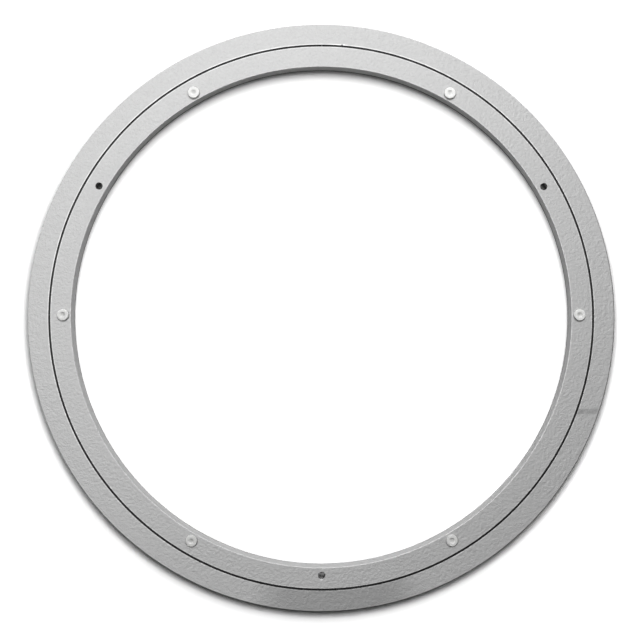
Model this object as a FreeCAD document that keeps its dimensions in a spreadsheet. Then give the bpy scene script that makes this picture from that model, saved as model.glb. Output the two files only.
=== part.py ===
# Lazy susan bearing: two low rings of hollow aluminium section, one inside the other,
# that turn on caged steel balls.
# Lengths are millimetres. The origin is on the table under the middle of the rings, and +Z points up.
# The outer ring stands still on its feet. The inner ring carries the tray on its bumpers and turns about Z.
import FreeCAD, Part
import os
import Sketcher

App = FreeCAD
doc = App.newDocument("LazySusanBearing")

# Driving sizes, each with the value that it has on the real piece.
driving_sizes = {
    "outer_diameter": 460.0,
    "outer_ring_width": 16.3,
    "inner_ring_width": 16.4,
    "ring_gap": 1.3,
    "ring_lift": 1.0,
    "lip_thickness": 0.75,
    "flat_wall": 1.6,
    "side_wall": 1.4,
    "race_web": 2.4,
    "edge_chamfer": 0.4,
    "lip_chamfer": 0.2,
    "ball_diameter": 4.0,
    "ball_play": 0.08,
    "ball_pitch_angle": 7.5,
    "balls_in_strip": 6,
    "pocket_play": 0.1,
    "cage_thickness": 1.8,
    "cage_web": 0.7,
    "cage_play": 0.2,
    "strip_end_gap_angle": 0.1,
    "screw_hole_setback": 6.0,
    "screw_hole_diameter": 5.2,
    "screw_hole_break": 0.4,
    "screw_access_diameter": 9.0,
    "screw_holes": 3,
    "first_screw_angle": 30.0,
    "bumper_setback": 6.0,
    "bumpers": 6,
    "first_bumper_angle": 0.0,
    "foot_setback": 7.0,
    "feet": 6,
    "first_foot_angle": 30.0,
    "button_diameter": 9.0,
    "button_height": 1.5,
    "button_edge_radius": 0.65,
    "dimple_diameter": 4.4,
    "dimple_depth": 0.9,
    "stem_diameter": 4.2,
    "stem_play": 0.1,
    "barb_diameter": 5.4,
    "barb_length": 2.2,
    "barb_tip_diameter": 2.8,
}

# Radii and levels that follow from the driving sizes.
worked_out_sizes = {
    "outer_radius": "Sizes.outer_diameter / 2",
    "lip_radius": "outer_radius - Sizes.outer_ring_width",
    "rim_radius": "lip_radius - Sizes.ring_gap",
    "bore_radius": "rim_radius - Sizes.inner_ring_width",
    "ball_path_radius": "(lip_radius + rim_radius) / 2",
    "race_radius": "Sizes.ball_diameter / 2 + Sizes.ball_play",
    "cage_room": "Sizes.cage_thickness / 2 + Sizes.cage_play",
    "outer_room_radius": "ball_path_radius + cage_room",
    "inner_room_radius": "ball_path_radius - cage_room",
    "pocket_diameter": "Sizes.ball_diameter + 2 * Sizes.pocket_play",
    "cage_height": "pocket_diameter + 2 * Sizes.cage_web",
    "room_height": "cage_height + 2 * Sizes.cage_play",
    "ring_height": "room_height + 2 * Sizes.lip_thickness + Sizes.ring_lift",
    "outer_bottom": "Sizes.button_height",
    "outer_top": "outer_bottom + ring_height",
    "inner_bottom": "outer_bottom + Sizes.ring_lift",
    "inner_top": "inner_bottom + ring_height",
    "ball_level": "(outer_bottom + inner_top) / 2",
    "room_bottom": "ball_level - room_height / 2",
    "room_top": "ball_level + room_height / 2",
    "outer_chamber_inside": "ball_path_radius + race_radius + Sizes.race_web",
    "outer_chamber_outside": "outer_radius - Sizes.side_wall",
    "inner_chamber_inside": "bore_radius + Sizes.side_wall",
    "inner_chamber_outside": "ball_path_radius - race_radius - Sizes.race_web",
    "chamber_height": "ring_height - 2 * Sizes.flat_wall",
    "stem_hole_diameter": "Sizes.stem_diameter + 2 * Sizes.stem_play",
    "screw_circle_radius": "bore_radius + Sizes.screw_hole_setback",
    "bumper_circle_radius": "bore_radius + Sizes.bumper_setback",
    "foot_circle_radius": "outer_radius - Sizes.foot_setback",
    "barb_top": "Sizes.flat_wall + Sizes.stem_play",
    "barb_bottom": "barb_top + Sizes.barb_length",
    "strip_angle": "Sizes.ball_pitch_angle * Sizes.balls_in_strip",
}


def make_sheet(name, cells):
    """A sheet with one aliased cell for each name."""
    sheet = doc.addObject("Spreadsheet::Sheet", name)
    for row, (alias, content) in enumerate(cells.items(), start=1):
        sheet.set(f"A{row}", alias)
        sheet.set(f"B{row}", content)
        sheet.setAlias(f"B{row}", alias)
    doc.recompute()
    return sheet


make_sheet("Sizes", {alias: str(value) for alias, value in driving_sizes.items()})
places = make_sheet("Places", {alias: f"={formula}" for alias, formula in worked_out_sizes.items()})


def number(formula):
    """The present value of an expression."""
    value = places.evalExpression(formula)
    return float(getattr(value, "Value", value))


def new_body(label):
    """An empty body whose label is its node's name."""
    body = doc.addObject("PartDesign::Body", label)
    body.Label = label
    return body


def origin_part(body, role):
    """One of the body's own origin planes or axes."""
    return next(part for part in body.Origin.OriginFeatures if part.Role == role)


def new_sketch(body, name, role, level=None, turn=None):
    """A sketch on one of the body's planes, lifted to a level and turned about the plane's normal."""
    sketch = body.newObject("Sketcher::SketchObject", name)
    sketch.AttachmentSupport = [(origin_part(body, role), "")]
    sketch.MapMode = "FlatFace"
    if turn:
        sketch.AttachmentOffset = App.Placement(App.Vector(), App.Rotation(App.Vector(0, 0, 1), number(turn)))
        sketch.setExpression("AttachmentOffset.Rotation.Angle", turn)
    if level:
        sketch.setExpression("AttachmentOffset.Base.z", level)
    return sketch


def place_point(sketch, geometry, end, across, up):
    """Ties one point of a sketch to its distances from the sketch's origin."""
    for kind, axis, formula in (("DistanceX", -2, across), ("DistanceY", -1, up)):
        value = number(formula)
        if value == 0:
            sketch.addConstraint(Sketcher.Constraint("PointOnObject", geometry, end, axis))
        else:
            rule = sketch.addConstraint(Sketcher.Constraint(kind, -1, 1, geometry, end, value))
            sketch.setExpression(f"Constraints[{rule}]", formula)


def draw_outline(sketch, corners):
    """A closed outline. A corner is (across, up), or (across, up, radius, turn) where a round edge starts.

    The turn of a round edge is 1 for anticlockwise and -1 for clockwise."""
    first = sketch.GeometryCount
    points = [App.Vector(number(corner[0]), number(corner[1]), 0) for corner in corners]
    ends = []
    for index, corner in enumerate(corners):
        here = points[index]
        there = points[(index + 1) % len(points)]
        if len(corner) == 2:
            sketch.addGeometry(Part.LineSegment(here, there))
            ends.append((1, 2))
        else:
            radius, turn = number(corner[2]), corner[3]
            chord = there - here
            rise = (radius**2 - (chord.Length / 2) ** 2) ** 0.5
            side = App.Vector(-chord.y, chord.x, 0).normalize() * turn
            centre = (here + there) / 2 + side * rise
            start, finish = (here, there) if turn > 0 else (there, here)
            circle = Part.Circle(centre, App.Vector(0, 0, 1), radius)
            sketch.addGeometry(Part.ArcOfCircle(circle, circle.parameter(start), circle.parameter(finish)))
            ends.append((1, 2) if turn > 0 else (2, 1))
    for index, corner in enumerate(corners):
        following = (index + 1) % len(corners)
        joined = (first + index, ends[index][1], first + following, ends[following][0])
        sketch.addConstraint(Sketcher.Constraint("Coincident", *joined))
        place_point(sketch, first + index, ends[index][0], corner[0], corner[1])
        if len(corner) > 2:
            rule = sketch.addConstraint(Sketcher.Constraint("Radius", first + index, number(corner[2])))
            sketch.setExpression(f"Constraints[{rule}]", corner[2])


def draw_circle(sketch, across, up, diameter):
    """A circle with its centre and its diameter tied to expressions."""
    centre = App.Vector(number(across), number(up), 0)
    circle = sketch.addGeometry(Part.Circle(centre, App.Vector(0, 0, 1), number(diameter) / 2))
    place_point(sketch, circle, 3, across, up)
    rule = sketch.addConstraint(Sketcher.Constraint("Diameter", circle, number(diameter)))
    sketch.setExpression(f"Constraints[{rule}]", diameter)


def revolve(body, name, sketch, kind="PartDesign::Revolution"):
    """Turns a sketch of the XZ plane once round Z, to add or to cut."""
    feature = body.newObject(kind, name)
    feature.Profile = sketch
    feature.ReferenceAxis = (sketch, ["V_Axis"])
    feature.Angle = 360
    sketch.Visibility = False
    doc.recompute()
    return feature


def polar_pattern(body, name, originals, angle, count):
    """Repeats features about Z. The angle is from the first to the last, or 360 for the whole round."""
    pattern = body.newObject("PartDesign::PolarPattern", name)
    pattern.Originals = originals
    pattern.Axis = (origin_part(body, "Z_Axis"), [""])
    pattern.setExpression("Angle", angle)
    pattern.setExpression("Occurrences", count)
    body.Tip = pattern
    doc.recompute()
    return pattern


def drill(body, name, circle_radius, angle, level, depth, diameter):
    """A round hole drilled down from a level."""
    sketch = new_sketch(body, f"{name}Sketch", "XY_Plane", level, angle)
    draw_circle(sketch, circle_radius, "0", diameter)
    hole = body.newObject("PartDesign::Pocket", name)
    hole.Profile = sketch
    hole.Type = "Length"
    hole.setExpression("Length", depth)
    before = body.Shape.Volume
    doc.recompute()
    if body.Shape.Volume >= before:
        raise ValueError(f"{name} cuts nothing")
    sketch.Visibility = False
    return hole


def break_hole_edges(body, level, diameter, width):
    """A small chamfer round the mouth of every hole of one diameter at one level."""
    drilled = body.Tip
    tolerance = 1e-6
    mouths = []
    for position, edge in enumerate(drilled.Shape.Edges, start=1):
        curve = edge.Curve
        if isinstance(curve, Part.Circle) and abs(curve.Center.z - number(level)) < tolerance:
            if abs(2 * curve.Radius - number(diameter)) < tolerance:
                mouths.append(f"Edge{position}")
    if not mouths:
        raise ValueError(f"{body.Label} has no hole to chamfer")
    chamfer = body.newObject("PartDesign::Chamfer", "HoleChamfer")
    chamfer.Base = (drilled, mouths)
    chamfer.setExpression("Size", width)
    body.Tip = chamfer
    doc.recompute()


def cut_race(body):
    """The round groove of the ball race, turned into the wall behind the cage."""
    sketch = new_sketch(body, "RaceSketch", "XZ_Plane")
    draw_circle(sketch, "Places.ball_path_radius", "Places.ball_level", "2 * Places.race_radius")
    before = body.Shape.Volume
    revolve(body, "Race", sketch, "PartDesign::Groove")
    if body.Shape.Volume >= before:
        raise ValueError(f"{body.Label} has no race")


def chamber_corners(inside, outside, bottom):
    """The hollow of the section, between the side walls and between the flat walls."""
    low = f"{bottom} + Sizes.flat_wall"
    high = f"{bottom} + Sizes.flat_wall + Places.chamber_height"
    return [(inside, low), (outside, low), (outside, high), (inside, high)]


def outer_ring():
    """The still ring: a hollow section, open to the cage on its inner side, with holes for the feet."""
    body = new_body("outer_ring")
    edge, lip_edge = "Sizes.edge_chamfer", "Sizes.lip_chamfer"
    rim, lip, room = "Places.outer_radius", "Places.lip_radius", "Places.outer_room_radius"
    bottom, top = "Places.outer_bottom", "Places.outer_top"
    section = new_sketch(body, "SectionSketch", "XZ_Plane")
    draw_outline(
        section,
        [
            (f"{lip} + {lip_edge}", bottom),
            (f"{rim} - {edge}", bottom),
            (rim, f"{bottom} + {edge}"),
            (rim, f"{top} - {edge}"),
            (f"{rim} - {edge}", top),
            (f"{lip} + {lip_edge}", top),
            (lip, f"{top} - {lip_edge}"),
            (lip, "Places.room_top"),
            (room, "Places.room_top"),
            (room, "Places.room_bottom"),
            (lip, "Places.room_bottom"),
            (lip, f"{bottom} + {lip_edge}"),
        ],
    )
    chamber = chamber_corners("Places.outer_chamber_inside", "Places.outer_chamber_outside", bottom)
    draw_outline(section, chamber)
    revolve(body, "Section", section)
    cut_race(body)
    foot_hole = drill(
        body,
        "FootHole",
        "Places.foot_circle_radius",
        "Sizes.first_foot_angle",
        f"{bottom} + Sizes.flat_wall + Places.chamber_height / 2",
        "Sizes.flat_wall + Places.chamber_height",
        "Places.stem_hole_diameter",
    )
    polar_pattern(body, "FootHoles", [foot_hole], "360", "Sizes.feet")
    return body


def inner_ring():
    """The turning ring: the same section the other way round, with holes for the bumpers and the screws."""
    body = new_body("inner_ring")
    edge, lip_edge = "Sizes.edge_chamfer", "Sizes.lip_chamfer"
    bore, rim, room = "Places.bore_radius", "Places.rim_radius", "Places.inner_room_radius"
    bottom, top = "Places.inner_bottom", "Places.inner_top"
    section = new_sketch(body, "SectionSketch", "XZ_Plane")
    draw_outline(
        section,
        [
            (f"{bore} + {edge}", bottom),
            (f"{rim} - {lip_edge}", bottom),
            (rim, f"{bottom} + {lip_edge}"),
            (rim, "Places.room_bottom"),
            (room, "Places.room_bottom"),
            (room, "Places.room_top"),
            (rim, "Places.room_top"),
            (rim, f"{top} - {lip_edge}"),
            (f"{rim} - {lip_edge}", top),
            (f"{bore} + {edge}", top),
            (bore, f"{top} - {edge}"),
            (bore, f"{bottom} + {edge}"),
        ],
    )
    chamber = chamber_corners("Places.inner_chamber_inside", "Places.inner_chamber_outside", bottom)
    draw_outline(section, chamber)
    revolve(body, "Section", section)
    cut_race(body)
    half_depth = "Sizes.flat_wall + Places.chamber_height / 2"
    bumper_hole = drill(
        body,
        "BumperHole",
        "Places.bumper_circle_radius",
        "Sizes.first_bumper_angle",
        top,
        half_depth,
        "Places.stem_hole_diameter",
    )
    polar_pattern(body, "BumperHoles", [bumper_hole], "360", "Sizes.bumpers")
    screw_place = ("Places.screw_circle_radius", "Sizes.first_screw_angle")
    screw_hole = drill(body, "ScrewHole", *screw_place, top, half_depth, "Sizes.screw_hole_diameter")
    access = drill(
        body,
        "ScrewAccess",
        *screw_place,
        f"{bottom} + {half_depth}",
        f"{half_depth} + Sizes.ring_lift",
        "Sizes.screw_access_diameter",
    )
    polar_pattern(body, "ScrewHoles", [screw_hole, access], "360", "Sizes.screw_holes")
    break_hole_edges(body, top, "Sizes.screw_hole_diameter", "Sizes.screw_hole_break")
    return body


def push_in_button(label, circle_radius, angle, seat, upside_down):
    """A soft button with a dimpled head and a barbed stem, pushed in until the head sits on the ring."""
    body = new_body(label)
    head, height = "Sizes.button_diameter / 2", "Sizes.button_height"
    rounding, dimple, depth = "Sizes.button_edge_radius", "Sizes.dimple_diameter / 2", "Sizes.dimple_depth"
    stem, barb, tip = "Sizes.stem_diameter / 2", "Sizes.barb_diameter / 2", "Sizes.barb_tip_diameter / 2"
    bowl_radius = f"(({dimple})^2 + {depth}^2) / (2 * {depth})"
    section = new_sketch(body, "SectionSketch", "XZ_Plane")
    draw_outline(
        section,
        [
            ("0", "-Places.barb_bottom"),
            (tip, "-Places.barb_bottom"),
            (barb, "-Places.barb_top"),
            (stem, "-Places.barb_top"),
            (stem, "0"),
            (head, "0"),
            (head, f"{height} - {rounding}", rounding, 1),
            (f"{head} - {rounding}", height),
            (dimple, height, bowl_radius, -1),
            ("0", f"{height} - {depth}"),
        ],
    )
    revolve(body, "Section", section)
    flip = 180 if upside_down else 0
    body.Placement = App.Placement(App.Vector(), App.Rotation(App.Vector(1, 0, 0), flip))
    body.setExpression("Placement.Base.x", f"{circle_radius} * cos({angle})")
    body.setExpression("Placement.Base.y", f"{circle_radius} * sin({angle})")
    body.setExpression("Placement.Base.z", seat)
    return body


def turn_to_place(body, index):
    """Turns a strip or its balls to their own share of the round."""
    turn = f"Places.strip_angle * {index} + Sizes.ball_pitch_angle / 2"
    body.Placement = App.Placement(App.Vector(), App.Rotation(App.Vector(0, 0, 1), number(turn)))
    body.setExpression("Placement.Rotation.Angle", turn)


def cage_strip(index):
    """One curved strip of the ball cage, with a round pocket for each of its balls."""
    body = new_body(f"cage_strip_{index + 1}")
    inside = "Places.ball_path_radius - Sizes.cage_thickness / 2"
    outside = "Places.ball_path_radius + Sizes.cage_thickness / 2"
    low, high = "Places.ball_level - Places.cage_height / 2", "Places.ball_level + Places.cage_height / 2"
    section = new_sketch(body, "SectionSketch", "XZ_Plane")
    draw_outline(section, [(inside, low), (outside, low), (outside, high), (inside, high)])
    strip = revolve(body, "Strip", section)
    strip.Type = "TwoAngles"
    end_margin = "(Sizes.ball_pitch_angle - Sizes.strip_end_gap_angle) / 2"
    strip.setExpression("Angle", f"Places.strip_angle - Sizes.ball_pitch_angle + {end_margin}")
    strip.setExpression("Angle2", end_margin)
    doc.recompute()
    pocket_sketch = new_sketch(body, "PocketSketch", "YZ_Plane")
    draw_circle(pocket_sketch, "0", "Places.ball_level", "Places.pocket_diameter")
    pocket = body.newObject("PartDesign::Pocket", "Pocket")
    pocket.Profile = pocket_sketch
    pocket.Type = "Length"
    pocket.Reversed = True
    pocket.setExpression("Length", "Places.outer_room_radius")
    pocket_sketch.Visibility = False
    doc.recompute()
    spread = "Places.strip_angle - Sizes.ball_pitch_angle"
    polar_pattern(body, "Pockets", [pocket], spread, "Sizes.balls_in_strip")
    turn_to_place(body, index)
    return body


def ball_set(index):
    """The steel balls of one cage strip."""
    body = new_body(f"ball_set_{index + 1}")
    body.AllowCompound = True
    ball = body.newObject("PartDesign::AdditiveSphere", "Ball")
    ball.AttachmentSupport = [(origin_part(body, "XY_Plane"), "")]
    ball.MapMode = "FlatFace"
    ball.setExpression("Radius", "Sizes.ball_diameter / 2")
    ball.setExpression("AttachmentOffset.Base.x", "Places.ball_path_radius")
    ball.setExpression("AttachmentOffset.Base.z", "Places.ball_level")
    doc.recompute()
    spread = "Places.strip_angle - Sizes.ball_pitch_angle"
    polar_pattern(body, "Balls", [ball], spread, "Sizes.balls_in_strip")
    turn_to_place(body, index)
    return body


def write_checked(bodies):
    """Writes each body's solids, once every object has been computed without a fault."""
    doc.recompute()
    for item in doc.Objects:
        if "Invalid" in item.State or "Error" in item.State:
            raise ValueError(f"{item.Label} failed: {item.State}")
    for body in bodies:
        if body.Shape.isNull() or not body.Shape.isValid():
            raise ValueError(f"{body.Label} has no valid shape")
    os.makedirs("parts", exist_ok=True)
    for body in bodies:
        body.Shape.exportStep(f"parts/{body.Label}.step")
        print(body.Label, len(body.Shape.Solids), "solids", round(body.Shape.Volume, 2), "mm3")


strips = round(360 / number("Places.strip_angle"))
bodies = [outer_ring(), inner_ring()]
for strip_index in range(strips):
    bodies.append(cage_strip(strip_index))
    bodies.append(ball_set(strip_index))
bumper_count = round(number("Sizes.bumpers"))
for place in range(bumper_count):
    bumper_angle = f"Sizes.first_bumper_angle + {place} * 360 / Sizes.bumpers"
    seat_on = ("Places.bumper_circle_radius", bumper_angle, "Places.inner_top")
    bodies.append(push_in_button(f"tray_bumper_{place + 1}", *seat_on, upside_down=False))
foot_count = round(number("Sizes.feet"))
for place in range(foot_count):
    foot_angle = f"Sizes.first_foot_angle + {place} * 360 / Sizes.feet"
    seat_on = ("Places.foot_circle_radius", foot_angle, "Places.outer_bottom")
    bodies.append(push_in_button(f"foot_{place + 1}", *seat_on, upside_down=True))
write_checked(bodies)
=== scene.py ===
# Lazy susan bearing: a still outer ring on soft feet, and an inner ring that turns in it on caged balls.
# Metres in Blender. The rings' sections are written in millimetres, as they are drawn.
# Lamps, table, finishes and marks are fitted together to one photo of the part from straight above.
import bpy
import bmesh
import math
from mathutils import Matrix, Vector


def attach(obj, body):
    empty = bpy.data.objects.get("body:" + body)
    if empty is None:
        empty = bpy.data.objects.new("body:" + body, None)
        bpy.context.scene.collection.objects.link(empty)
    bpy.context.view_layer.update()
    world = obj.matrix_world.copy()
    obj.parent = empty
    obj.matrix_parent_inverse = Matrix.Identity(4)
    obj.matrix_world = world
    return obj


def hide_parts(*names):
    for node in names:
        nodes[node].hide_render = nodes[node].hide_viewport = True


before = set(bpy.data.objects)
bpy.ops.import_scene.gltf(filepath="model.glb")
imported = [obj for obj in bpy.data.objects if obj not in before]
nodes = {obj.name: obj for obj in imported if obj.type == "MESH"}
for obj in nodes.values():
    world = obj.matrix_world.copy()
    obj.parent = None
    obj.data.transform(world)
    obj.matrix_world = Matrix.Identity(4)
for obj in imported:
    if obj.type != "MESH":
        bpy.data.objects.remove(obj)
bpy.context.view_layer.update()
mm = 0.001


# Small kit for node trees: an expression on wires adds its maths nodes.

class Wire:
    # a socket that can be written into sums
    def __init__(self, tree, socket):
        self.tree = tree
        self.socket = socket

    def other(self, name):
        return Wire(self.tree, self.socket.node.outputs[name])

    def __add__(self, value):
        return self.tree.maths("ADD", self, value)

    def __radd__(self, value):
        return self.tree.maths("ADD", value, self)

    def __sub__(self, value):
        return self.tree.maths("SUBTRACT", self, value)

    def __rsub__(self, value):
        return self.tree.maths("SUBTRACT", value, self)

    def __mul__(self, value):
        return self.tree.maths("MULTIPLY", self, value)

    def __rmul__(self, value):
        return self.tree.maths("MULTIPLY", value, self)

    def __pow__(self, value):
        return self.tree.maths("POWER", self, value)


class NodeTree:
    # the nodes of one material or of the world
    def __init__(self, owner):
        self.owner = owner
        owner.use_nodes = True
        self.nodes = owner.node_tree.nodes
        self.links = owner.node_tree.links
        self.nodes.clear()

    def add(self, kind, settings=None, inputs=None, output=0):
        node = self.nodes.new(kind)
        for name, value in (settings or {}).items():
            setattr(node, name, value)
        for name, value in (inputs or {}).items():
            if isinstance(value, Wire):
                self.links.new(value.socket, node.inputs[name])
            else:
                node.inputs[name].default_value = value
        return Wire(self, node.outputs[output]) if node.outputs else node

    def maths(self, operation, first, second=0.0):
        return self.add("ShaderNodeMath", {"operation": operation}, {0: first, 1: second})

    def objectPlace(self):
        return self.add("ShaderNodeTexCoord", output="Object")

    def split(self, vector):
        x = self.add("ShaderNodeSeparateXYZ", {}, {0: vector})
        return x, x.other("Y"), x.other("Z")

    def join(self, x, y, z=0.0):
        return self.add("ShaderNodeCombineXYZ", {}, {0: x, 1: y, 2: z})

    def noise(self, place, size, detail=2.0, roughness=0.5):
        # size is how far apart the blotches are, in metres
        sockets = {"Vector": place, "Scale": 1 / size, "Detail": detail, "Roughness": roughness}
        return self.add("ShaderNodeTexNoise", {}, sockets)

    def fade(self, value, near, far):
        # 1 where value is under near, 0 where it is over far
        sockets = {"Value": value, "From Min": near, "From Max": far, "To Min": 1.0, "To Max": 0.0}
        return self.add("ShaderNodeMapRange", {"interpolation_type": "SMOOTHSTEP"}, sockets)

    def distance(self, value, middle):
        return self.maths("ABSOLUTE", value - middle)

    def blend(self, factor, low, high):
        # a colour between two colours
        return self.add("ShaderNodeMix", {"data_type": "RGBA"}, {0: factor, 6: low, 7: high}, output=2)

    def scaled(self, colour, factor):
        return self.add("ShaderNodeVectorMath", {"operation": "SCALE"}, {0: colour, "Scale": factor})

    def mixed(self, factor, first, second):
        return self.add("ShaderNodeMixShader", {}, {0: factor, 1: first, 2: second})

    def bump(self, height, strength, distance):
        sockets = {"Height": height, "Strength": strength, "Distance": distance}
        return self.add("ShaderNodeBump", {}, sockets)

    def surface(self, shader):
        self.add("ShaderNodeOutputMaterial", {}, {"Surface": shader})
        return self.owner


def grey(level):
    return (level, level, level, 1.0)


cameraPlace = {
    "height": 543.615,          # above the table, straight over the middle
    "lensPixels": 680.407,      # focal length in pixels of a 640 pixel frame
    "tiltNorth": 1.45547,       # degrees
    "tiltEast": 0.32373,
    "turn": 0.0202,
    "middlePixel": (325.653, 297.551),
    "frame": 640,
    "sensor": 36.0,
    "clip": (0.01, 50),         # metres
}


def makeCamera(place):
    data = bpy.data.cameras.new("photoCamera")
    camera = bpy.data.objects.new("photoCamera", data)
    bpy.context.scene.collection.objects.link(camera)
    north, east = math.radians(place["tiltNorth"]), math.radians(place["tiltEast"])
    right = Vector((math.cos(east), -math.sin(north) * math.sin(east), math.cos(north) * math.sin(east)))
    up = Vector((0, math.cos(north), math.sin(north)))
    back = right.cross(up)
    axes = Matrix((right, up, back)).transposed().to_4x4()
    turn = Matrix.Rotation(math.radians(place["turn"]), 4, "Z")
    camera.matrix_world = turn @ Matrix.Translation((0, 0, place["height"] * mm)) @ axes
    data.sensor_width = place["sensor"]
    data.lens = place["lensPixels"] * place["sensor"] / place["frame"]
    half = place["frame"] / 2
    data.shift_x = (half - place["middlePixel"][0]) / place["frame"]
    data.shift_y = (place["middlePixel"][1] - half) / place["frame"]
    data.clip_start, data.clip_end = place["clip"]
    bpy.context.scene.camera = camera


floorLook = {
    "halfWidth": 6.0,
    "drop": 0.05 * mm,          # just under the feet, so that the faces don't fight
    "colour": 0.24,             # for the light that it throws back onto the part
    "mirroredColour": 0.85,     # as reflections in the part show it
    "seenColour": 1.593,        # straight from the camera, where the lamps make it white
    "seenSlope": 1.226,         # it rises to the south, where the key lamp is farther, per metre
    "slopeReach": 0.35,
    "whiteFrom": 0.30,          # out here it fades into the white of the room
    "whiteTo": 0.55,
    # shade close to the rings: how far out it starts, its reach and its depth;
    # the third is the table seen through the screw holes
    "contacts": ((-1.0, 4 * mm, 0.65), (0.1965, 4 * mm, 2.8), (0.199, 4 * mm, 4.2), (0.213, 10 * mm, 3.5)),
    "contactSide": (0.03, 0.5, 0.86),   # it falls away from the key lamp
    "contactSamples": 8,
}


def paleTable(name, look):
    tree = NodeTree(bpy.data.materials.new(name))
    place = tree.objectPlace()
    ray = tree.add("ShaderNodeLightPath", output="Is Camera Ray")
    mirrored = ray.other("Is Glossy Ray") + ray.other("Is Transmission Ray")
    colour = tree.blend(mirrored, grey(look["colour"]), grey(look["mirroredColour"]))
    fromMiddle = tree.add("ShaderNodeVectorMath", {"operation": "LENGTH"}, {0: place}, output="Value")
    side = tree.join(*look["contactSide"])
    samples = {"samples": look["contactSamples"]}
    contact = 1.0
    for start, reach, depth in look["contacts"]:
        sockets = {"Distance": reach, "Normal": side}
        shade = tree.add("ShaderNodeAmbientOcclusion", samples, sockets, output="AO") ** depth
        contact = contact + (shade - contact) * tree.maths("GREATER_THAN", fromMiddle, start)
    limits = {0: tree.split(place)[1], 1: -look["slopeReach"], 2: look["slopeReach"]}
    northing = tree.add("ShaderNodeClamp", {}, limits)
    seen = look["seenColour"] * (1 - northing * look["seenSlope"]) * contact
    colour = tree.blend(ray, colour, tree.scaled((1, 1, 1), seen))
    paper = tree.add("ShaderNodeBsdfDiffuse", {}, {"Color": colour})
    white = tree.add("ShaderNodeEmission", {}, {"Color": grey(1.0)})
    far = ray * (1 - tree.fade(fromMiddle, look["whiteFrom"], look["whiteTo"]))
    under = tree.add("ShaderNodeNewGeometry", output="Backfacing")
    clear = tree.add("ShaderNodeBsdfTransparent")
    return tree.surface(tree.mixed(under, tree.mixed(far, paper, white), clear))


def makeFloor(look):
    shape = bmesh.new()
    bmesh.ops.create_grid(shape, x_segments=1, y_segments=1, size=look["halfWidth"])
    mesh = bpy.data.meshes.new("tableTop")
    shape.to_mesh(mesh)
    shape.free()
    floor = bpy.data.objects.new("tableTop", mesh)
    floor.location.z = -look["drop"]
    floor.visible_shadow = False        # the lamp below reaches the underside through it
    bpy.context.scene.collection.objects.link(floor)
    mesh.materials.append(paleTable("paleTable", look))


roomLight = {
    "ambient": 0.075,
    "white": 1.0,
    "horizonLow": 0.02,         # sine of the height where the pale wall begins to fade
    "horizonHigh": 0.12,
}


def makeRoom(look):
    world = bpy.data.worlds.new("studioRoom")
    bpy.context.scene.world = world
    tree = NodeTree(world)
    height = tree.split(tree.add("ShaderNodeTexCoord", output="Generated"))[2]
    wall = tree.fade(height, look["horizonLow"], look["horizonHigh"])
    ray = tree.add("ShaderNodeLightPath", output="Is Camera Ray")
    seen = ray + (ray.other("Is Glossy Ray") + ray.other("Is Transmission Ray")) * wall
    strength = look["ambient"] + seen * (look["white"] - look["ambient"])
    light = tree.add("ShaderNodeBackground", {}, {"Color": grey(1.0), "Strength": strength})
    tree.add("ShaderNodeOutputWorld", {}, {"Surface": light})


lampPlaces = {
    # metres from the middle of the table; level is the share of a white sheet's brightness there
    "keyLamp": {"place": (0.058, 0.538, 0.712), "radius": 0.436, "level": 1.0, "lightsTable": True},
    "fillLamp": {"place": (-0.754, 0.211, 1.280), "radius": 0.40, "level": 0.65, "lightsTable": False},
    "lampBelow": {"place": (0.0, 0.0, -1.2), "radius": 0.40, "level": 0.15, "lightsTable": True},
}


def makeLamp(name, look):
    # a lamp that doesn't light the table shows only in reflections
    data = bpy.data.lights.new(name, "AREA")
    lamp = bpy.data.objects.new(name, data)
    bpy.context.scene.collection.objects.link(lamp)
    lamp.location = look["place"]
    lamp.visible_diffuse = look["lightsTable"]
    lamp.visible_camera = False
    lamp.rotation_mode = "QUATERNION"
    lamp.rotation_quaternion = lamp.location.to_track_quat("Z", "Y")
    data.shape = "DISK"
    data.size = 2 * look["radius"]
    distance = lamp.location.length
    data.energy = look["level"] * math.pi**2 * distance**3 / abs(lamp.location.z)


makeCamera(cameraPlace)
makeFloor(floorLook)
makeRoom(roomLight)
for lampName, lampLook in lampPlaces.items():
    makeLamp(lampName, lampLook)
bpy.context.scene.view_settings.view_transform = "Standard"
print("camera, table, room and lamps are set")


# Sizes of the two rings: a chamber is its inside, outside, floor and roof,
# and a row of holes is its count, its circle and its first angle.
raceSizes = {"path": 213.05, "level": 6.25, "radius": 2.08, "steps": 12}

outerRingSizes = {
    "lip": 213.7, "rim": 230.0, "bottom": 1.5, "top": 10.0,
    "edge": 0.15, "lipEdge": 0.2,
    "room": 214.15, "roomBottom": 3.25, "roomTop": 9.25,    # for the cage, behind the lips
    "chamber": (217.53, 228.6, 3.1, 8.4),
    "feet": (6, 223.0, 30.0), "stemHole": 2.2,
}

innerRingSizes = {
    "bore": 196.0, "rim": 212.4, "bottom": 2.5, "top": 11.0,
    "edge": 0.3, "lipEdge": 0.2,
    "room": 211.95, "roomBottom": 3.25, "roomTop": 9.25,
    "chamber": (197.4, 208.57, 4.1, 9.4),
    "bumpers": (6, 202.0, 0.0), "stemHole": 2.2,
    "screws": (3, 202.0, 30.0), "screwHole": 2.6, "screwBreak": 0.4, "access": 4.5,
}

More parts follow.
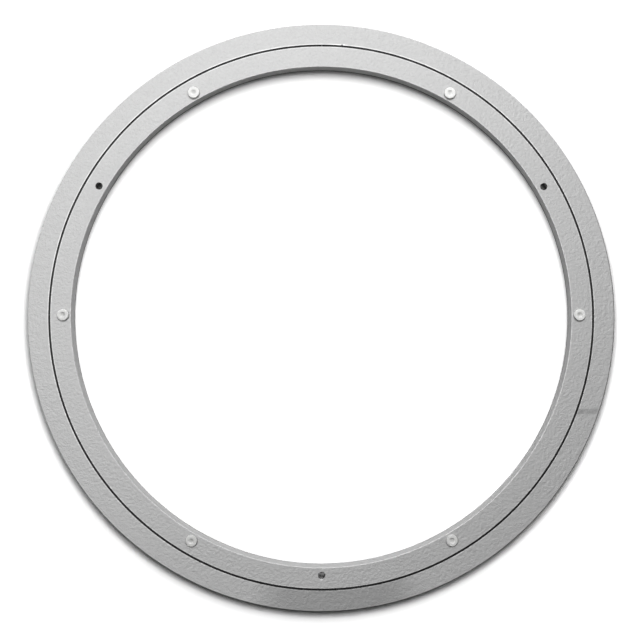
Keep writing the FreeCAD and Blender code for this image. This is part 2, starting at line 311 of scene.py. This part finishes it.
aluminiumLook = {
    "colour": 0.515,
    "roughness": 0.81,
    "specular": 0.1,
    "wallColour": 0.69,         # the upright walls are lighter and less metallic
    "wallMetal": 0.1,
    "wallSlope": (0.3, 0.7),    # upward share of the normal, from wall to face
    "mottleSize": 1.9 * mm,
    "mottle": 0.16,
    "blotchSize": 4.5 * mm,
    "blotch": 0.12,
    "roughnessChange": 0.10,
    "streakSize": 0.8 * mm,     # drawing lines of the extrusion, all the way round
    "streak": 0.1,
    "streakRoughness": 0.06,
    "patchSize": 60 * mm,       # where the drawing lines show more
    "grain": 2.2 * mm,
    "grainDepth": 0.8 * mm,
}

# Lines along the edges. Pairs of widths and depths are where a line is full and where it is gone, or
# the other way round at the rim, in millimetres.
edgeLooks = {
    "rubbedAndHighlitGain": 0.22,         # wear and a painted highlight: how much brighter the metal just off the gap is
    "rubbedPolish": 0.10,
    "rubbedAndHighlitWidth": (0.25, 0.55),
    "rubbedAndHighlitDepth": (0.3, 0.6),
    "rubbedAndHighlitPatch": 9.0,         # they are less bright in patches of this size
    "rubbedAndHighlitNoise": (0.35, 0.6),
    "rubbedAndHighlitLeast": 0.6,
    "gapShadeColour": 0.01,          # painted shade: the gap and about 1 mm to each side of it are dark
    "gapMiddle": 212.95,
    "gapWidth": (0.95, 1.08),
    "rimShadeColour": 0.07,          # painted shade: dark line along the outer edge, strongest in the south, away from the key lamp
    "rimLean": 0.0008,          # it is broader in the east
    "rimWidth": (0.45, 0.25),
    "rimDepth": (0.2, 0.5),
    "rimNorth": (-20, 220),     # it fades out to the north over this stretch
    "boreHighlightColour": 0.65,         # painted highlight: bright line along the top edge of the bore
    "boreWidth": (0.28, 0.38),
    "boreDepth": (0.28, 0.38),
}


def rubbedAndHighlitLips(tree, look, rubbed, place, radius, fromTop):
    # rubbed are (radius, share) of the edges; the band is rubbed wear with a painted highlight of the lit
    # lip edges
    wornAndHighlit = 0.0
    near, far = look["rubbedAndHighlitWidth"]
    for edge, share in rubbed:
        wornAndHighlit = wornAndHighlit + tree.fade(tree.distance(radius, edge * mm), near * mm, far * mm) * share
    near, far = look["rubbedAndHighlitDepth"]
    wornAndHighlit = wornAndHighlit * tree.fade(fromTop, near * mm, far * mm)
    patchy = tree.fade(tree.noise(place, look["rubbedAndHighlitPatch"] * mm, 3.0), *look["rubbedAndHighlitNoise"])
    return wornAndHighlit * (look["rubbedAndHighlitLeast"] + (1 - look["rubbedAndHighlitLeast"]) * patchy)


def edgeLines(tree, look, colour, x, y, radius, fromTop):
    # painted shade over the gap and its lip edges
    near, far = look["gapWidth"]
    gap = tree.fade(tree.distance(radius, look["gapMiddle"] * mm), near * mm, far * mm)
    colour = tree.blend(gap, colour, grey(look["gapShadeColour"]))

    # painted shade along the outer edge
    rim, (start, full) = outerRingSizes["rim"], look["rimWidth"]
    line = 1 - tree.fade(radius + x * look["rimLean"], (rim - start) * mm, (rim - full) * mm)
    (near, far), (south, north) = look["rimDepth"], look["rimNorth"]
    line = line * tree.fade(fromTop, near * mm, far * mm) * tree.fade(y, south * mm, north * mm)
    colour = tree.blend(line, colour, grey(look["rimShadeColour"]))

    # painted highlight along the top edge of the bore
    bore, (full, end) = innerRingSizes["bore"], look["boreWidth"]
    line = tree.fade(radius, (bore + full) * mm, (bore + end) * mm)
    near, far = look["boreDepth"]
    line = line * tree.fade(fromTop, near * mm, far * mm)
    return tree.blend(line, colour, grey(look["boreHighlightColour"]))


def anodisedAluminium(name, look, edges, rubbed, topLevel, marks):
    tree = NodeTree(bpy.data.materials.new(name))
    place = tree.objectPlace()
    x, y, z = tree.split(place)
    radius = (x * x + y * y) ** 0.5
    fromTop = tree.distance(z, topLevel * mm)
    mottle = tree.noise(place, look["mottleSize"], 3.0, 0.6)
    blotch = tree.noise(place, look["blotchSize"])
    patch = tree.noise(place, look["patchSize"])
    streak = tree.noise(tree.join(radius, z), look["streakSize"])
    tone = 1 + (mottle - 0.5) * look["mottle"] + (blotch - 0.5) * look["blotch"]
    tone = tone + (streak - 0.5) * patch * look["streak"]
    roughness = look["roughness"] + (blotch - 0.5) * look["roughnessChange"]
    roughness = roughness + (streak - 0.5) * look["streakRoughness"]

    # rubbed wear and painted highlight along the lips and the bore
    wornAndHighlit = rubbedAndHighlitLips(tree, edges, rubbed, place, radius, fromTop)
    tone = tone + wornAndHighlit * edges["rubbedAndHighlitGain"]
    roughness = roughness - wornAndHighlit * edges["rubbedPolish"]
    for mark in marks:
        tone = tone * (1 - mark(tree, x, y, z))

    upwards = tree.split(tree.add("ShaderNodeNewGeometry", output="Normal"))[2]
    wall = tree.fade(tree.distance(upwards, 0.0), *look["wallSlope"])
    colour = tree.blend(wall, grey(look["colour"]), grey(look["wallColour"]))
    colour = edgeLines(tree, edges, colour, x, y, radius, fromTop)
    grain = tree.noise(place, look["grain"], 3.0, 0.65)
    shader = tree.add("ShaderNodeBsdfPrincipled", {}, {
        "Base Color": tree.scaled(colour, tone),
        "Metallic": 1 - wall * (1 - look["wallMetal"]),
        "Roughness": roughness,
        "Specular IOR Level": look["specular"],
        "Normal": tree.bump(grain, 1.0, look["grainDepth"]),
    })
    return tree.surface(shader)


siliconeLook = {
    "colour": (0.76, 0.76, 0.75, 1.0),
    "dust": (0.83, 0.83, 0.82, 1.0),
    "cloudSize": 2.5 * mm,
    "hollowShade": 0.25,        # the dimple and the foot of the side are darker
    "bumperHollow": (11.6, 12.35),      # heights where the shade is full and gone
    "footHollow": (-2.0, -1.0),         # below the table, so a foot has none
    "roughness": 0.52,
    "roughnessChange": 0.2,
    "depthShare": 0.15,         # light that goes in and spreads under the skin
    "depthColour": (1.0, 1.0, 0.95),
    "depth": 0.8 * mm,
    "fineSize": 0.25 * mm,
    "fineStrength": 0.35,
    "fineDepth": 0.02 * mm,
}


def paleSilicone(name, look, hollowLevels):
    tree = NodeTree(bpy.data.materials.new(name))
    place = tree.objectPlace()
    cloud = tree.noise(place, look["cloudSize"], 3.0)
    low, high = hollowLevels
    hollow = tree.fade(tree.split(place)[2], low * mm, high * mm) * look["hollowShade"]
    shader = tree.add("ShaderNodeBsdfPrincipled", {}, {
        "Base Color": tree.scaled(tree.blend(cloud, look["colour"], look["dust"]), 1 - hollow),
        "Roughness": look["roughness"] + (cloud - 0.5) * look["roughnessChange"],
        "Subsurface Weight": look["depthShare"],
        "Subsurface Radius": look["depthColour"],
        "Subsurface Scale": look["depth"],
        "IOR": 1.41,
        "Normal": tree.bump(tree.noise(place, look["fineSize"]), look["fineStrength"], look["fineDepth"]),
    })
    return tree.surface(shader)


nylonLook = {
    "colour": grey(0.012),
    "rubbed": grey(0.025),
    "cloudSize": 1.6 * mm,
    "roughness": 0.6,
    "roughnessChange": 0.25,
    "fineSize": 0.2 * mm,
    "fineStrength": 0.3,
    "fineDepth": 0.015 * mm,
}


def mouldedNylon(name, look):
    tree = NodeTree(bpy.data.materials.new(name))
    place = tree.objectPlace()
    cloud = tree.noise(place, look["cloudSize"], 3.0)
    shader = tree.add("ShaderNodeBsdfPrincipled", {}, {
        "Base Color": tree.blend(cloud, look["colour"], look["rubbed"]),
        "Roughness": look["roughness"] + (cloud - 0.5) * look["roughnessChange"],
        "IOR": 1.53,
        "Normal": tree.bump(tree.noise(place, look["fineSize"]), look["fineStrength"], look["fineDepth"]),
    })
    return tree.surface(shader)


steelLook = {
    "colour": grey(0.60),
    "oiled": grey(0.52),
    "filmSize": 1.2 * mm,
    "roughness": 0.16,
    "roughnessChange": 0.12,
    "scuffSize": 0.15 * mm,
    "scuffStrength": 0.15,
    "scuffDepth": 0.003 * mm,
}


def polishedSteel(name, look):
    tree = NodeTree(bpy.data.materials.new(name))
    place = tree.objectPlace()
    film = tree.noise(place, look["filmSize"])
    scuffs = tree.noise(place, look["scuffSize"], 3.0)
    shader = tree.add("ShaderNodeBsdfPrincipled", {}, {
        "Base Color": tree.blend(film, look["colour"], look["oiled"]),
        "Metallic": 1.0,
        "Roughness": look["roughness"] + (film - 0.5) * look["roughnessChange"],
        "Normal": tree.bump(scuffs, look["scuffStrength"], look["scuffDepth"]),
    })
    return tree.surface(shader)


# The two rings are turned from their sections, and their holes are drilled.
lathe = {
    "segments": 288,
    "rounding": 0.12,           # small fillet on every corner, in millimetres
    "cornerSteps": 4,
    "cornerShare": 0.45,        # most of a side that one fillet may take
    "sharpAngle": 32,
}
drillLook = {"segments": 40, "past": 1, "over": 0.1}    # how far a drill stands out of the metal


def roundedCorner(before, corner, after, radius, steps):
    # points of a small fillet on one corner of a section
    a, b, c = Vector(before), Vector(corner), Vector(after)
    toA, toC = (a - b).normalized(), (c - b).normalized()
    half = toA.angle(toC) / 2
    most = lathe["cornerShare"]
    reach = min(radius / math.tan(half), (a - b).length * most, (c - b).length * most)
    start, finish = b + toA * reach, b + toC * reach
    points = []
    for step in range(steps + 1):
        share = step / steps
        points.append(start.lerp(b, share).lerp(b.lerp(finish, share), share))
    return points


def smoothSection(corners, rounding, steps):
    # corners are (radius, height), or (radius, height, 0) where the corner stays sharp
    outline = []
    count = len(corners)
    for index, corner in enumerate(corners):
        if len(corner) == 3:
            outline.append(Vector(corner[:2]))
        else:
            before, after = corners[index - 1][:2], corners[(index + 1) % count][:2]
            outline.extend(roundedCorner(before, corner, after, rounding, steps))
    return outline


def turnOutline(shape, outline, segments):
    # one closed shell round Z; an outline that runs anticlockwise faces outwards
    rows = []
    for segment in range(segments):
        angle = 2 * math.pi * segment / segments
        across, along = math.cos(angle) * mm, math.sin(angle) * mm
        rows.append([shape.verts.new((p.x * across, p.x * along, p.y * mm)) for p in outline])
    for segment in range(segments):
        row, following = rows[segment], rows[(segment + 1) % segments]
        for index in range(len(outline)):
            after = (index + 1) % len(outline)
            shape.faces.new((row[index], row[after], following[after], following[index]))


def holeCutter(name, places, profile):
    # one drill bit for each (radius, degrees) place; profile is (radius, height) from bottom to top
    segments = drillLook["segments"]
    shape = bmesh.new()
    for radius, degrees in places:
        middle = Vector((math.cos(math.radians(degrees)), math.sin(math.radians(degrees)), 0)) * radius * mm
        rows = []
        for across, height in profile:
            row = []
            for segment in range(segments):
                angle = 2 * math.pi * segment / segments
                side = Vector((math.cos(angle), math.sin(angle), 0)) * across * mm
                row.append(shape.verts.new(middle + side + Vector((0, 0, height * mm))))
            rows.append(row)
        for low, high in zip(rows, rows[1:]):
            for segment in range(segments):
                after = (segment + 1) % segments
                shape.faces.new((low[segment], low[after], high[after], high[segment]))
        shape.faces.new(list(reversed(rows[0])))
        shape.faces.new(rows[-1])
    mesh = bpy.data.meshes.new(name)
    shape.to_mesh(mesh)
    shape.free()
    cutter = bpy.data.objects.new(name, mesh)
    bpy.context.scene.collection.objects.link(cutter)
    return cutter


def turnedRing(name, section, chamber, cutters):
    shape = bmesh.new()
    turnOutline(shape, smoothSection(section, lathe["rounding"], lathe["cornerSteps"]), lathe["segments"])
    turnOutline(shape, [Vector(corner) for corner in reversed(chamber)], lathe["segments"])
    if shape.calc_volume(signed=True) < 0:
        bmesh.ops.reverse_faces(shape, faces=shape.faces)
    mesh = bpy.data.meshes.new(name)
    shape.to_mesh(mesh)
    shape.free()
    ring = bpy.data.objects.new(name, mesh)
    bpy.context.scene.collection.objects.link(ring)
    for cutter in cutters:
        drill = ring.modifiers.new(cutter.name, "BOOLEAN")
        drill.operation, drill.solver, drill.object = "DIFFERENCE", "EXACT", cutter
    bpy.context.view_layer.update()
    drilled = bpy.data.meshes.new_from_object(ring.evaluated_get(bpy.context.evaluated_depsgraph_get()))
    ring.modifiers.clear()
    ring.data = drilled
    for cutter in cutters:
        bpy.data.objects.remove(cutter)
    drilled.shade_smooth()
    drilled.set_sharp_from_angle(angle=math.radians(lathe["sharpAngle"]))
    normals = ring.modifiers.new("flatFacesStayFlat", "WEIGHTED_NORMAL")
    normals.keep_sharp = True
    print(name, len(drilled.polygons), "faces")
    return ring


def raceArc(race, wall, outwards):
    # the ball groove's points, from the foot of the wall to its head
    reach = abs(wall - race["path"])
    half = math.acos(reach / race["radius"])
    points = []
    for step in range(race["steps"] + 1):
        turn = -half + 2 * half * step / race["steps"]
        side = math.cos(turn) if outwards else -math.cos(turn)
        height = race["level"] + math.sin(turn) * race["radius"]
        points.append((race["path"] + side * race["radius"], height, 0))
    return points


def around(count, radius, first):
    return [(radius, first + 360 * index / count) for index in range(count)]


def chamberCorners(inside, outside, floor, roof):
    return [(inside, floor), (outside, floor), (outside, roof), (inside, roof)]


def makeOuterRing(sizes):
    lip, rim, low, high = sizes["lip"], sizes["rim"], sizes["bottom"], sizes["top"]
    edge, lipEdge, room = sizes["edge"], sizes["lipEdge"], sizes["room"]
    section = [
        (lip + lipEdge, low),
        (rim - edge, low),
        (rim, low + edge),
        (rim, high - edge),
        (rim - edge, high),
        (lip + lipEdge, high),
        (lip, high - lipEdge),
        (lip, sizes["roomTop"], 0),
        (room, sizes["roomTop"], 0),
        *reversed(raceArc(raceSizes, room, True)),
        (room, sizes["roomBottom"], 0),
        (lip, sizes["roomBottom"], 0),
        (lip, low + lipEdge),
    ]
    middle = sum(sizes["chamber"][2:]) / 2
    footBit = [(sizes["stemHole"], low - drillLook["past"]), (sizes["stemHole"], middle)]
    drill = holeCutter("footDrill", around(*sizes["feet"]), footBit)
    return turnedRing("outer_ring_body", section, chamberCorners(*sizes["chamber"]), [drill])


def makeInnerRing(sizes):
    bore, rim, low, high = sizes["bore"], sizes["rim"], sizes["bottom"], sizes["top"]
    edge, lipEdge, room = sizes["edge"], sizes["lipEdge"], sizes["room"]
    section = [
        (bore + edge, low),
        (rim - lipEdge, low),
        (rim, low + lipEdge),
        (rim, sizes["roomBottom"], 0),
        (room, sizes["roomBottom"], 0),
        *raceArc(raceSizes, room, False),
        (room, sizes["roomTop"], 0),
        (rim, sizes["roomTop"], 0),
        (rim, high - lipEdge),
        (rim - lipEdge, high),
        (bore + edge, high),
        (bore, high - edge),
        (bore, low + edge),
    ]
    middle = sum(sizes["chamber"][2:]) / 2
    past, over = drillLook["past"], drillLook["over"]
    stemBit = [(sizes["stemHole"], middle), (sizes["stemHole"], high + past)]
    hole, lead = sizes["screwHole"], sizes["screwBreak"]
    screwBit = [
        (sizes["access"], low - past),
        (sizes["access"], middle),
        (hole, middle),
        (hole, high - lead),
        (hole + lead + over, high + over),
    ]
    drills = [
        holeCutter("bumperDrill", around(*sizes["bumpers"]), stemBit),
        holeCutter("screwDrill", around(*sizes["screws"]), screwBit),
    ]
    return turnedRing("inner_ring_body", section, chamberCorners(*sizes["chamber"]), drills)


# Marks on the rings, fitted to the photo, in millimetres. Each returns how much darker the metal is there.
markLevels = (8.5, 9.5)         # small marks are gone under the first height and full over the second


def spot(tree, x, y, place, radius, soft=0.35):
    gap = ((x - place[0] * mm) ** 2 + (y - place[1] * mm) ** 2) ** 0.5
    return tree.fade(gap, radius * (1 - soft) * mm, radius * (1 + soft) * mm)


def nearTop(tree, z):
    return 1 - tree.fade(z, markLevels[0] * mm, markLevels[1] * mm)


weldBand = {
    "y": -75.6,
    "halfWidth": 1.95,
    "soft": 0.65,
    "wanderSize": 3,            # its sides waver
    "wander": 1.2,
    "depth": 0.18,
    "gapEnd": (202, 208),       # it is a little darker towards the gap
    "gapEndDepth": 0.06,
}


def weldMark(tree, x, y, z):
    # a band across the outer ring in the east, taken for the ground joint of the bent bar
    look = weldBand
    wander = (tree.noise(tree.objectPlace(), look["wanderSize"] * mm) - 0.5) * look["wander"] * mm
    near, far = look["halfWidth"] - look["soft"], look["halfWidth"] + look["soft"]
    band = tree.fade(tree.distance(y + wander, look["y"] * mm), near * mm, far * mm)
    gapEnd = tree.fade(x, look["gapEnd"][0] * mm, look["gapEnd"][1] * mm)
    return band * tree.maths("GREATER_THAN", x, 0.0) * (look["depth"] + gapEnd * look["gapEndDepth"])


# a nick in the outer ring's lip: painted shade in its dent and a painted highlight on its burr
nick = {
    "place": (15.9, 213.4), "radius": 0.6, "depth": 0.9,
    "burr": (17.6, 213.9), "burrRadius": 0.5, "burrHighlightGain": 0.4,
}


def nickMark(tree, x, y, z):
    dent = spot(tree, x, y, nick["place"], nick["radius"])
    burr = spot(tree, x, y, nick["burr"], nick["burrRadius"])
    return (dent * nick["depth"] - burr * nick["burrHighlightGain"]) * nearTop(tree, z)


scratch = {
    "start": (-34.6, -218.6), "end": (-33.6, -215.4),
    "halfWidth": (0.1, 0.35),
    "ends": (0.35, 0.55),       # share of its length where it fades
    "depth": 0.2,
}


def scratchMark(tree, x, y, z):
    start, end = Vector(scratch["start"]) * mm, Vector(scratch["end"]) * mm
    line, length = (end - start).normalized(), (end - start).length
    middle = (start + end) / 2
    off, run = x - middle.x, y - middle.y
    side = tree.maths("ABSOLUTE", off * line.y - run * line.x)
    along = tree.maths("ABSOLUTE", off * line.x + run * line.y)
    near, far = scratch["halfWidth"]
    ends = tree.fade(along, length * scratch["ends"][0], length * scratch["ends"][1])
    return tree.fade(side, near * mm, far * mm) * ends * scratch["depth"]


southDarkening = {"place": (12, -225), "radius": 55, "depth": 0.22}       # darker stretch in the south


def southDarkeningMark(tree, x, y, z):
    return spot(tree, x, y, southDarkening["place"], southDarkening["radius"]) * southDarkening["depth"]


bumperShade = {"offset": (0, -0.9), "radius": 4.6, "soft": 0.12, "depth": 0.45}


def bumperMark(tree, x, y, z):
    # the shade on the ring beside each button falls away from the key lamp, however the ring is turned
    count, circle = innerRingSizes["bumpers"][:2]
    turn = tree.maths("ARCTAN2", y, x) + math.pi / count
    nearest = tree.maths("SNAP", turn, 2 * math.pi / count)
    along = tree.maths("COSINE", nearest) * circle * mm
    across = tree.maths("SINE", nearest) * circle * mm
    toWorld = {"vector_type": "VECTOR", "convert_from": "OBJECT", "convert_to": "WORLD"}
    fromButton = tree.add("ShaderNodeVectorTransform", toWorld, {0: tree.join(x - along, y - across)})
    east, north = tree.split(fromButton)[:2]
    shade = spot(tree, east, north, bumperShade["offset"], bumperShade["radius"], bumperShade["soft"])
    return shade * nearTop(tree, z) * bumperShade["depth"]


screwShade = {
    "radius": 3.0, "soft": 0.05, "depth": 0.95,     # walls of the screw holes
    "levels": (10.6, 10.8),
    "glint": (0, -205.1), "glintRadius": 0.9, "glintGain": 0.35,    # bright spot beside the southern one
}


def screwMark(tree, x, y, z):
    low, high = screwShade["levels"]
    below = tree.fade(z, low * mm, high * mm)
    dark = 0.0
    for circle, degrees in around(*innerRingSizes["screws"]):
        middle = (circle * math.cos(math.radians(degrees)), circle * math.sin(math.radians(degrees)))
        dark = dark + spot(tree, x, y, middle, screwShade["radius"], screwShade["soft"])
    glint = spot(tree, x, y, screwShade["glint"], screwShade["glintRadius"]) * nearTop(tree, z)
    return dark * below * screwShade["depth"] - glint * screwShade["glintGain"]


outerRing = makeOuterRing(outerRingSizes)
outerRubbedAndHighlit = [(outerRingSizes["lip"] + 0.6, 1.0)]
outerMarks = (weldMark, nickMark, scratchMark, southDarkeningMark)
outerRing.data.materials.append(anodisedAluminium(
    "anodisedOuterRing", aluminiumLook, edgeLooks, outerRubbedAndHighlit, outerRingSizes["top"], outerMarks))
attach(outerRing, "base")
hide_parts("outer_ring")

innerRing = makeInnerRing(innerRingSizes)
innerRubbedAndHighlit = [(innerRingSizes["bore"] + 0.4, 0.25), (innerRingSizes["rim"] - 0.6, 1.0)]
innerMarks = (bumperMark, screwMark)
innerRing.data.materials.append(anodisedAluminium(
    "anodisedInnerRing", aluminiumLook, edgeLooks, innerRubbedAndHighlit, innerRingSizes["top"], innerMarks))
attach(innerRing, "turntable")
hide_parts("inner_ring")
print("rings are turned and drilled")


# Buttons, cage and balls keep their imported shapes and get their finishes.
smoothAngles = {"tray_bumper": 40, "foot": 40, "cage_strip": 30, "ball_set": 60}
finishes = {
    "tray_bumper": paleSilicone("paleSiliconeBumper", siliconeLook, siliconeLook["bumperHollow"]),
    "foot": paleSilicone("paleSiliconeFoot", siliconeLook, siliconeLook["footHollow"]),
    "cage_strip": mouldedNylon("blackNylonCage", nylonLook),
    "ball_set": polishedSteel("polishedSteelBalls", steelLook),
}
for name, node in nodes.items():
    kind = name.rstrip("0123456789").rstrip("_")
    if kind in finishes:
        node.data.materials.clear()
        node.data.materials.append(finishes[kind])
        node.data.shade_smooth()
        node.data.set_sharp_from_angle(angle=math.radians(smoothAngles[kind]))
print("buttons, cage and balls are finished")
